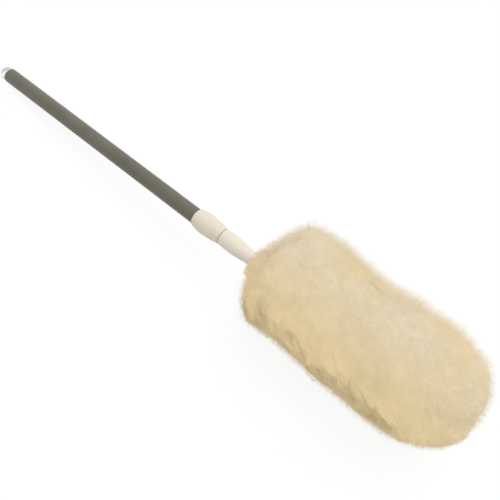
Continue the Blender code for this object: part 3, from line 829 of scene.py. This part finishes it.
def grow_pile(wool, body, draws):
    """The pile: strands in bands along the head, which draw together in tufts."""
    seeds, seed_normals = scatter(body, wool.tufts, draws)
    seed_ways = comb(seeds, seed_normals, np.random.default_rng(wool.seed + 2))
    seed_rise = wool.depth * draws.uniform(0.85, 1.15, wool.tufts)
    seed_rise *= 1 - REAR_LAY * np.clip(-seed_normals @ AXIS, 0, 1)
    seed_reach = wool.reach * draws.uniform(0.8, 1.25, wool.tufts) * tip_share(seed_normals)
    seed_shade = draws.uniform(0, 1, wool.tufts)
    seed_lines = strand_lines(seeds, seed_normals, seed_ways, seed_rise, seed_reach)

    count = wool.strands * wool.bands
    roots, normals = scatter(body, count, draws)
    order = np.argsort(roots @ AXIS)
    roots, normals = roots[order], normals[order]
    tuft = nearest(seeds, roots)
    ways = comb(roots, normals, np.random.default_rng(wool.seed + 2))
    heights = seed_rise[tuft] * draws.uniform(0.4, 1.3, count)
    reaches = seed_reach[tuft] * draws.uniform(0.7, 1.2, count) * tip_share(normals)
    lines = strand_lines(roots - normals * 0.001, normals, ways, heights, reaches)
    pull = wool.gather * draws.uniform(0.6, 1.3, count)
    lines += (seed_lines[tuft] - lines) * pull[:, None, None] * (PILE_STOPS**1.3)[None, :, None]
    widths = wool.strand_width * draws.uniform(0.6, 1.2, count)
    shades = 0.6 * seed_shade[tuft] + 0.4 * draws.uniform(0, 1, count)
    # Painted shade: strands rooted in a groove are drawn darker
    shades -= PAINTED_GROOVE_SHADE * groove_at(body, roots)
    for band in range(wool.bands):
        part = slice(band * wool.strands, (band + 1) * wool.strands)
        rows = (lines[part], normals[part], widths[part], shades[part])
        strand_piece(f"wool_pile_{band + 1}", PILE_STOPS, *rows)


def grow_fuzz(wool, body, draws):
    """The fuzz: single fine fibres, most of them short, and shorter on the combed side."""
    for band in range(wool.fuzz_bands):
        roots, normals = scatter(body, wool.fuzz, draws)
        ways = comb(roots, normals, draws) + draws.normal(size=roots.shape) * 0.35
        heights = np.minimum(0.8 + draws.exponential(1.6, wool.fuzz), 4.2) * wool.depth
        heights *= (1 - 0.4 * combed_share(roots)) * (1 - 0.35 * np.abs(normals @ AXIS))
        reaches = wool.reach * draws.uniform(0.2, 0.7, wool.fuzz) * tip_share(normals)
        strand_piece(
            f"wool_fuzz_{band + 1}",
            PILE_STOPS,
            strand_lines(roots, normals, ways, heights, reaches),
            normals,
            wool.strand_width * draws.uniform(0.2, 0.4, wool.fuzz),
            draws.uniform(0.2, 0.8, wool.fuzz),
        )


def grow_ruff(wool, body, draws):
    """The ruff: strands that reach back over the neck, fewer of them on the combed side."""
    roots, normals = scatter(body, 120 * wool.ruff, draws)
    _, away, distance = axis_places(roots)
    near = (normals @ AXIS < -0.4) & (distance < RUFF_REACH)
    near &= (away @ COMBED_SIDE > -0.1) | (draws.uniform(size=len(roots)) < 0.25)
    held = np.flatnonzero(near)[: wool.ruff]
    roots, normals, away = roots[held], normals[held], away[held]
    heights = wool.ruff_length * draws.uniform(0.4, 1.2, len(held))
    ways = 0.5 * away + draws.normal(size=roots.shape) * 0.3
    strand_piece(
        "wool_ruff",
        PILE_STOPS,
        strand_lines(roots, -np.broadcast_to(AXIS, roots.shape), ways, heights, 0.4 * heights),
        normals,
        wool.strand_width * draws.uniform(0.4, 0.8, len(held)),
        draws.uniform(0.2, 0.8, len(held)),
    )


def lay_locks(name, wool, draws, count, hairs, length, width, form):
    """Locks of so many hairs each, which lie over the pile on the combed side."""
    rise, bend, stray, shade = form
    body = bpy.data.objects["wool_body"].data
    points, _, triangles = read_mesh(body)
    surface = BVHTree.FromPolygons(points.tolist(), triangles.tolist())
    roots, normals = scatter(body, count * 12, draws)
    held = combed_share(roots) > draws.uniform(0.2, 1, len(roots))
    held &= (roots[:, 2] > LOCK_LOWEST) & (normals @ AXIS < LOCK_FOREMOST)
    roots, normals = roots[held][:count], normals[held][:count]
    count = len(roots)
    ways = unit(COMBED_LAY + draws.normal(size=(count, 3)) * stray)
    ways = unit(ways - (ways * normals).sum(axis=1)[:, None] * normals)
    lines, facing, aside = lock_lines(
        surface,
        roots,
        ways,
        length * draws.uniform(0.6, 1.3, count),
        rise * draws.uniform(0.6, 1.1, count),
        bend * draws.normal(size=count),
    )
    gather = (1 - 0.85 * LOCK_STOPS**2)[None, None, :, None]
    spread = draws.normal(size=(count, hairs, 1, 1)) * width / 2
    lift = draws.uniform(-1, 0.3, (count, hairs, 1, 1)) * width / 2
    shift = draws.uniform(-1, 1, (count, hairs, 1, 1)) * width
    lines = lines[:, None] + aside[:, None] * spread * gather + facing[:, None] * lift * gather
    lines = (lines + ways[:, None, None] * shift).reshape(-1, len(LOCK_STOPS), 3)
    shades = shade + draws.uniform(-0.3, 0.5, (count, 1))
    shades = (shades + draws.uniform(-0.3, 0.3, (count, hairs))).ravel()
    widths = wool.strand_width * draws.uniform(0.6, 1.0, len(lines))
    normals = np.repeat(facing[:, 2], hairs, axis=0)
    strand_piece(name, LOCK_STOPS, lines, normals, widths, shades, airy=name == "wool_wisps")


# Rims, floor, light and camera

# The share of a solid's widest radius from which a point is on its outer wall, and how far a
# rim is sunk in that wall and set back from its end, in the rim's own radii
RIM_WALL, RIM_SINK, RIM_SETBACK = 0.85, 0.3, 1.1
# What the camera sees of the floor, a dark base that keeps the shadow and a pale glow, and
# the glow that glossy pieces mirror
SEEN_BASE = (0.12, 0.12, 0.12, 1.0)
SEEN_GLOW, MIRRORED_GLOW = 0.89, 0.05


def rim_mesh(name, solid, way, radius):
    """A ring round the rear end of a solid's outer wall where way is 1, or its front at -1."""
    points, _, _ = read_mesh(frame["nodes"][solid].data)
    along, _, distance = axis_places(points)
    wide = distance > RIM_WALL * distance.max()
    edge = way * (way * along[wide]).min()
    reach = distance[wide & (np.abs(along - edge) < radius)].max()
    cage = bmesh.new()
    bmesh.ops.create_circle(cage, segments=10, radius=radius)
    bmesh.ops.rotate(cage, verts=cage.verts, matrix=Matrix.Rotation(math.pi / 2, 3, "X"))
    bmesh.ops.translate(cage, verts=cage.verts, vec=(0.0, 0.0, reach - RIM_SINK * radius))
    bmesh.ops.spin(
        cage,
        geom=cage.verts[:] + cage.edges[:],
        cent=(0.0, 0.0, 0.0),
        axis=(1.0, 0.0, 0.0),
        angle=math.tau,
        steps=72,
        use_merge=True,
    )
    bmesh.ops.recalc_face_normals(cage, faces=cage.faces)
    lean = Matrix.Rotation(-AXIS_RISE, 4, "Y")
    middle = AXIS_POINT + AXIS * (edge + way * RIM_SETBACK * radius)
    bmesh.ops.transform(cage, verts=cage.verts, matrix=Matrix.Translation(middle) @ lean)
    return cage_mesh(name, cage)


def lay_floor(stage):
    """A floor that is plain and pale to the camera, and has its own colour for the light."""
    cage = bmesh.new()
    bmesh.ops.create_grid(cage, x_segments=1, y_segments=1, size=stage.floor_size / 2)
    mesh = cage_mesh("floor", cage)
    floor = new_object("floor", mesh)
    finish, tree, shader = new_finish(
        "pale_floor", Roughness=0.9, Specular_IOR_Level=0.0, Emission_Color=WHITE
    )
    path = tree.nodes.new("ShaderNodeLightPath").outputs
    base = add_mix(tree, path["Is Camera Ray"], stage.floor_colour, SEEN_BASE)
    seen = add_math(tree, "MULTIPLY", path["Is Camera Ray"], SEEN_GLOW)
    mirrored = add_math(tree, "MULTIPLY", path["Is Glossy Ray"], MIRRORED_GLOW)
    glow = add_math(tree, "ADD", seen, mirrored)
    wire(tree, shader, Base_Color=base, Emission_Strength=glow)
    mesh.materials.append(finish)


def light_room(stage):
    """A world that looks white and lights at the sky's strength, and a broad, soft sun."""
    world = bpy.data.worlds.new("studio")
    world.use_nodes = True
    tree = world.node_tree
    tree.nodes.clear()
    light = add_node(tree, "ShaderNodeBackground", Color=WHITE, Strength=stage.sky_power)
    backdrop = add_node(tree, "ShaderNodeBackground", Color=WHITE, Strength=1.0)
    path = tree.nodes.new("ShaderNodeLightPath").outputs
    seen = add_math(tree, "MAXIMUM", path["Is Camera Ray"], path["Is Glossy Ray"])
    seen = add_math(tree, "MAXIMUM", seen, path["Is Transmission Ray"])
    blend = add_node(tree, "ShaderNodeMixShader", Fac=seen)
    tree.links.new(light.outputs["Background"], blend.inputs[1])
    tree.links.new(backdrop.outputs["Background"], blend.inputs[2])
    add_node(tree, "ShaderNodeOutputWorld", Surface=blend.outputs["Shader"])
    bpy.context.scene.world = world

    lamp = bpy.data.lights.new("key", "SUN")
    lamp.energy = stage.sun_power
    lamp.angle = stage.sun_spread
    key = new_object("key", lamp)
    key.rotation_mode = "QUATERNION"
    key.rotation_quaternion = Vector(stage.sun_way).to_track_quat("Z", "Y")


def place_camera(stage):
    view = bpy.data.cameras.new("photo_view")
    view.sensor_width = 36.0
    view.lens = stage.lens
    view.clip_start = 0.01
    camera = new_object("photo_view", view)
    camera.location = stage.eye
    camera.rotation_euler = Vector(stage.gaze).to_track_quat("-Z", "Y").to_euler()
    bpy.context.scene.camera = camera


# Operators, panel and run


def ivory_finish(name, colour):
    """The satin plastic of the collar and the nose cone."""
    satin = {"roughness": 0.6, "patch_depth": 0.05, "relief_scale": 1800.0}
    return moulded_finish(name, colour, Specular_IOR_Level=0.25, **satin)


class DUSTER_OT_handle(bpy.types.Operator):
    """Finishes the grip tube, its hanging strap and the collar"""

    bl_idname = "duster.handle"
    bl_label = "Handle"

    def execute(self, context):
        colours = context.scene.duster_finishes
        coat = moulded_finish(
            "taupe_coat",
            colours.tube,
            roughness=0.45,
            patch_depth=0.5,
            relief_scale=1500.0,
            relief_depth=0.00004,
            Specular_IOR_Level=0.25,
            Coat_Weight=0.6,
            Coat_Roughness=0.35,
        )
        dress(["outer_tube"], coat)
        strap = moulded_finish(
            "clear_white_strap", colours.strap, roughness=0.3, patch_depth=0.05, relief_scale=900.0
        )
        dress(["hanging_cap"], strap)
        dress(["guide_collar"], ivory_finish("ivory_collar", colours.collar))
        return {"FINISHED"}


class DUSTER_OT_lock(bpy.types.Operator):
    """Finishes the bush, the twist lock and the sliding tube"""

    bl_idname = "duster.lock"
    bl_label = "Twist lock"

    def execute(self, context):
        colours = context.scene.duster_finishes
        acetal = moulded_finish(
            "natural_acetal", colours.acetal, roughness=0.4, patch_depth=0.04, relief_scale=1400.0
        )
        dress(["guide_bush", "tube_plug", "wedge_nut"], acetal)
        nylon = moulded_finish(
            "black_nylon",
            colours.nylon,
            roughness=0.5,
            patch_depth=0.2,
            relief_scale=1200.0,
            relief_depth=0.00005,
        )
        dress(["expander_sleeve"], nylon)
        steel = drawn_finish(
            "turned_steel", colours.steel, roughness=0.32, fineness=3.0, line_depth=0.00002
        )
        dress(["lock_stud", "stud_nut", "thrust_washer", "plug_pin"], steel)
        tube = drawn_finish(
            "drawn_aluminium", colours.aluminium, roughness=0.36, fineness=2.0, line_depth=0.00003
        )
        dress(["inner_tube"], tube)
        return {"FINISHED"}


class DUSTER_OT_core(bpy.types.Operator):
    """Finishes the nose cone and the core that the wool is built on"""

    bl_idname = "duster.core"
    bl_label = "Nose and core"

    def execute(self, context):
        colours = context.scene.duster_finishes
        dress(["nose_cone"], ivory_finish("warm_nose", colours.nose))
        dress(["core_rod"], beech_finish(colours.beech))
        dress(["hide_strip"], hide_finish(colours.hide))
        steel = bpy.data.materials["turned_steel"]
        dress(["core_screw", "end_screw"], steel)
        dress([f"strip_tack_{number}" for number in range(1, 5)], steel)
        dress(["end_disc"], bpy.data.materials["natural_acetal"])
        return {"FINISHED"}


class DUSTER_OT_rims(bpy.types.Operator):
    """Adds the thin raised rims at the collar's two ends and at the nose cone's rear end"""

    bl_idname = "duster.rims"
    bl_label = "Rims"

    def execute(self, context):
        radius = context.scene.duster_finishes.rim_radius
        for name, solid, way, body, slot, finish in (
            ("collar_rear_rim", "guide_collar", 1, "handle", "ivory_plastic", "ivory_collar"),
            ("collar_front_rim", "guide_collar", -1, "handle", "ivory_plastic", "ivory_collar"),
            ("nose_rim", "nose_cone", 1, "wool_head", "nose_plastic", "warm_nose"),
        ):
            mesh = rim_mesh(name, solid, way, radius)
            mesh.materials.append(bpy.data.materials[finish])
            mesh.shade_smooth()
            piece = new_object(name, mesh)
            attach(piece, body)
        return {"FINISHED"}


class DUSTER_OT_wool_body(bpy.types.Operator):
    """Makes the dense inner wool, inside the head's outline, in place of the plain solid"""

    bl_idname = "duster.wool_body"
    bl_label = "Inner wool"

    def execute(self, context):
        wool = context.scene.duster_wool
        draws = np.random.default_rng(wool.seed)
        cage = bmesh.new()
        cage.from_mesh(frame["nodes"]["fleece"].data)
        bmesh.ops.remove_doubles(cage, verts=cage.verts, dist=1e-6)
        rough = cage_mesh("wool_rough", cage)
        mesh = modified(rough, "wool_body", "REMESH", mode="VOXEL", voxel_size=wool.body_face)
        bpy.data.meshes.remove(rough)

        soften(mesh, FIRST_SMOOTHING)
        points, normals, _ = read_mesh(mesh)
        lumps = (lobes(points, wool.lump_span, draws) - LUMP_MIDDLE) * wool.lump_rise
        grooves = furrows(points, wool.furrow_span, draws)
        lengthways = normals @ AXIS
        sink = BODY_SINK + COMBED_SINK * combed_share(points)
        sink += TIP_SINK * np.clip(lengthways, 0, 1) ** 2 + REAR_SINK * np.clip(-lengthways, 0, 1)
        rise = lumps + swell(points) - grooves * wool.furrow_depth - wool.depth * sink
        rise *= outside_share(points)
        for _ in range(SINK_STEPS):
            points, normals, _ = read_mesh(mesh)
            points += normals * rise[:, None] / SINK_STEPS
            mesh.vertices.foreach_set("co", points.astype(np.float32).ravel())
            soften(mesh, STEP_SMOOTHING)
        # Painted shade: deep in the grooves the inner wool is drawn darker and in the root colour
        give_values(
            mesh,
            strand_along=BODY_ALONG - BODY_ALONG * grooves,
            strand_shade=BODY_SHADE - PAINTED_GROOVE_SHADE * grooves,
        )
        mesh.materials.append(wool_finish("matted_wool", wool, 500.0, 0.0003))
        mesh.shade_smooth()
        mesh.update()
        piece = new_object("wool_body", mesh)
        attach(piece, "wool_head")
        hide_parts("fleece")
        return {"FINISHED"}


class DUSTER_OT_wool_pile(bpy.types.Operator):
    """Grows the pile in tufts, the fine fuzz round it and the ruff at the neck"""

    bl_idname = "duster.wool_pile"
    bl_label = "Pile"

    def execute(self, context):
        wool = context.scene.duster_wool
        draws = np.random.default_rng(wool.seed + 1)
        body = bpy.data.objects["wool_body"].data
        wool_finish("combed_wool", wool, 900.0, 0.00003)
        grow_pile(wool, body, draws)
        grow_fuzz(wool, body, draws)
        grow_ruff(wool, body, draws)
        return {"FINISHED"}


class DUSTER_OT_wool_locks(bpy.types.Operator):
    """Lays combed locks and loose curls on the side towards the surface, over the pile"""

    bl_idname = "duster.wool_locks"
    bl_label = "Locks"

    def execute(self, context):
        wool = context.scene.duster_wool
        draws = np.random.default_rng(wool.seed + 3)
        length, width = wool.lock_length, wool.lock_width
        lay_locks("wool_locks", wool, draws, wool.locks, 36, length, width, LOCK_FORM)
        lay_locks("wool_wisps", wool, draws, wool.wisps, 4, 0.5 * length, 0.0006, WISP_FORM)
        return {"FINISHED"}


class DUSTER_OT_stage(bpy.types.Operator):
    """Lays the floor, sets the light and places the camera"""

    bl_idname = "duster.stage"
    bl_label = "Stage"

    def execute(self, context):
        stage = context.scene.duster_stage
        lay_floor(stage)
        light_room(stage)
        place_camera(stage)
        context.scene.view_settings.view_transform = "Standard"
        return {"FINISHED"}


OPERATORS = (
    DUSTER_OT_stage,
    DUSTER_OT_handle,
    DUSTER_OT_lock,
    DUSTER_OT_core,
    DUSTER_OT_rims,
    DUSTER_OT_wool_body,
    DUSTER_OT_wool_pile,
    DUSTER_OT_wool_locks,
)

PROPERTY_GROUPS = {
    "duster_finishes": DusterFinishes,
    "duster_wool": DusterWool,
    "duster_stage": DusterStage,
}


class VIEW3D_PT_duster(bpy.types.Panel):
    """Lists the duster's operators and their values"""

    bl_label = "Duster"
    bl_space_type = "VIEW_3D"
    bl_region_type = "UI"
    bl_category = "Duster"

    def draw(self, context):
        for operator in OPERATORS:
            self.layout.operator(operator.bl_idname)
        for holder in PROPERTY_GROUPS:
            values = getattr(context.scene, holder)
            column = self.layout.column(align=True)
            for name in values.bl_rna.properties.keys():
                if name not in {"rna_type", "name"}:
                    column.prop(values, name)


def register():
    for holder, group in PROPERTY_GROUPS.items():
        bpy.utils.register_class(group)
        setattr(bpy.types.Scene, holder, PointerProperty(type=group))
    for made in (*OPERATORS, VIEW3D_PT_duster):
        bpy.utils.register_class(made)


def unregister():
    for made in (VIEW3D_PT_duster, *reversed(OPERATORS)):
        bpy.utils.unregister_class(made)
    for holder, group in PROPERTY_GROUPS.items():
        delattr(bpy.types.Scene, holder)
        bpy.utils.unregister_class(group)


def main():
    register()
    for operator in OPERATORS:
        group, name = operator.bl_idname.split(".")
        getattr(getattr(bpy.ops, group), name)()


if __name__ == "__main__":
    main()
